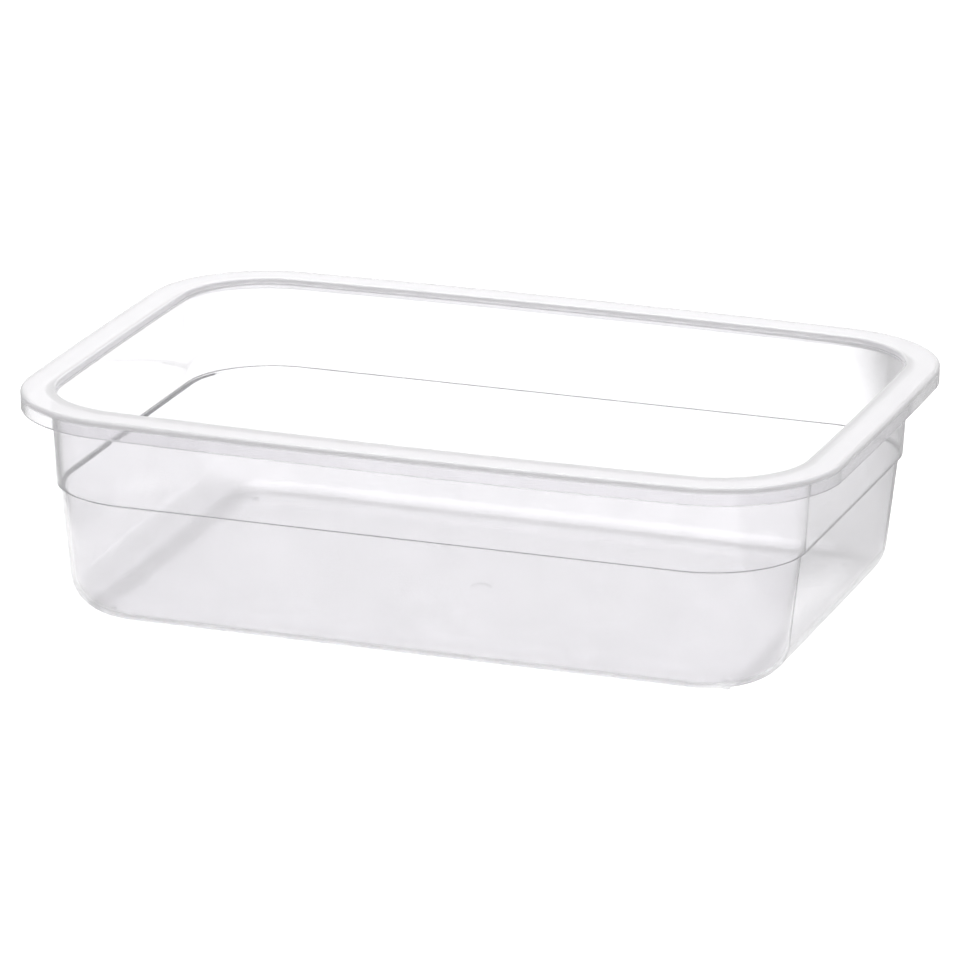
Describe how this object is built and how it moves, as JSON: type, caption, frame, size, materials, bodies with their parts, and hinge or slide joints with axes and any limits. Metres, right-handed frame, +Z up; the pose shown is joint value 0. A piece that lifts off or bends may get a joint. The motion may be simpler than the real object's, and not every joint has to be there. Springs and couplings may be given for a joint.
{
  "type": "food storage container",
  "caption": "Open rectangular food storage container of clear plastic, with drafted walls, a stacking ledge, rounded base and a wide rim flange with a hanging skirt.",
  "frame": {"origin": "centre of the footprint, at the height of the feet that it stands on", "axes": "+X along the long side, +Y along the short side, +Z up out of the open top"},
  "size_m": [0.21, 0.149, 0.0572],
  "materials": {
    "clear_polypropylene": "clear to milky injection-moulded polypropylene, glossy"
  },
  "bodies": {
    "root": {"container": "clear_polypropylene"}
  },
  "joints": []
}
